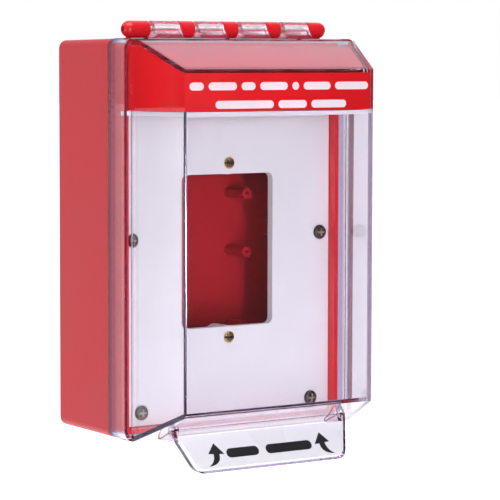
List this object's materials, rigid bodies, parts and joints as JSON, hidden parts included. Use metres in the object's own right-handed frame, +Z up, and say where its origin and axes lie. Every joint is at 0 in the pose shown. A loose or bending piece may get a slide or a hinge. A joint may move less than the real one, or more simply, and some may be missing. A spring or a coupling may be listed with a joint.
{
  "type": "call point protective station",
  "caption": "Wall box with a white device plate under a clear top-hinged lift cover, with a battery sounder in its red hood and a flared lift tab.",
  "frame": {"origin": "middle of the back box's wall face", "axes": "+Z up, -Y out of the wall towards the user, +X to the user's right"},
  "size_m": [0.1326, 0.0904, 0.2077],
  "materials": {
    "box_red": "fine moulded texture",
    "trim_red": "smooth moulded",
    "plate_white": "smooth moulded",
    "screw_steel": "zinc plated",
    "screw_brass": "turned",
    "pin_bright": "polished",
    "magnet_metal": "nickel plated",
    "clear_plastic": "clear polycarbonate",
    "label_red": "printed film",
    "shelf_white": "smooth moulded",
    "label_white": "printed film",
    "board_green": "solder mask",
    "black_plastic": "moulded",
    "reed_tube": "glass tube with tinned leads",
    "battery_case": "printed metal jacket",
    "lead_red": "wire insulation"
  },
  "bodies": {
    "base": {"back_box": "box_red", "entry_plug_upper": "box_red", "entry_plug_lower": "box_red", "frame": "trim_red", "mounting_plate": "plate_white", "plate_screw_top_left": "screw_steel", "plate_screw_top_right": "screw_steel", "plate_screw_middle_left": "screw_steel", "plate_screw_middle_right": "screw_steel", "plate_screw_bottom_left": "screw_steel", "plate_screw_bottom_right": "screw_steel", "device_screw_upper": "screw_brass", "device_screw_lower": "screw_brass", "hinge_rail": "trim_red", "hinge_pin": "pin_bright", "rail_screw_1": "screw_steel", "rail_screw_2": "screw_steel", "rail_screw_3": "screw_steel", "trigger_magnet": "magnet_metal"},
    "cover": {"clear_cover": "clear_plastic", "header_label": "label_red", "hood_shelf": "shelf_white", "lift_label": "label_white", "sounder_housing": "trim_red", "sounder_lid": "trim_red", "lid_screw_left": "screw_steel", "lid_screw_right": "screw_steel", "circuit_board": "board_green", "piezo_sounder": "black_plastic", "reed_switch": "reed_tube", "battery": "battery_case", "battery_snap": "black_plastic", "battery_lead_red": "lead_red", "battery_lead_black": "black_plastic"}
  },
  "joints": [
    {"name": "cover_lift", "type": "hinge", "parent": "base", "child": "cover", "pos_m": [0, -0.04465, 0.0971], "axis": [-1, 0, 0], "range_deg": [0, 100]}
  ]
}
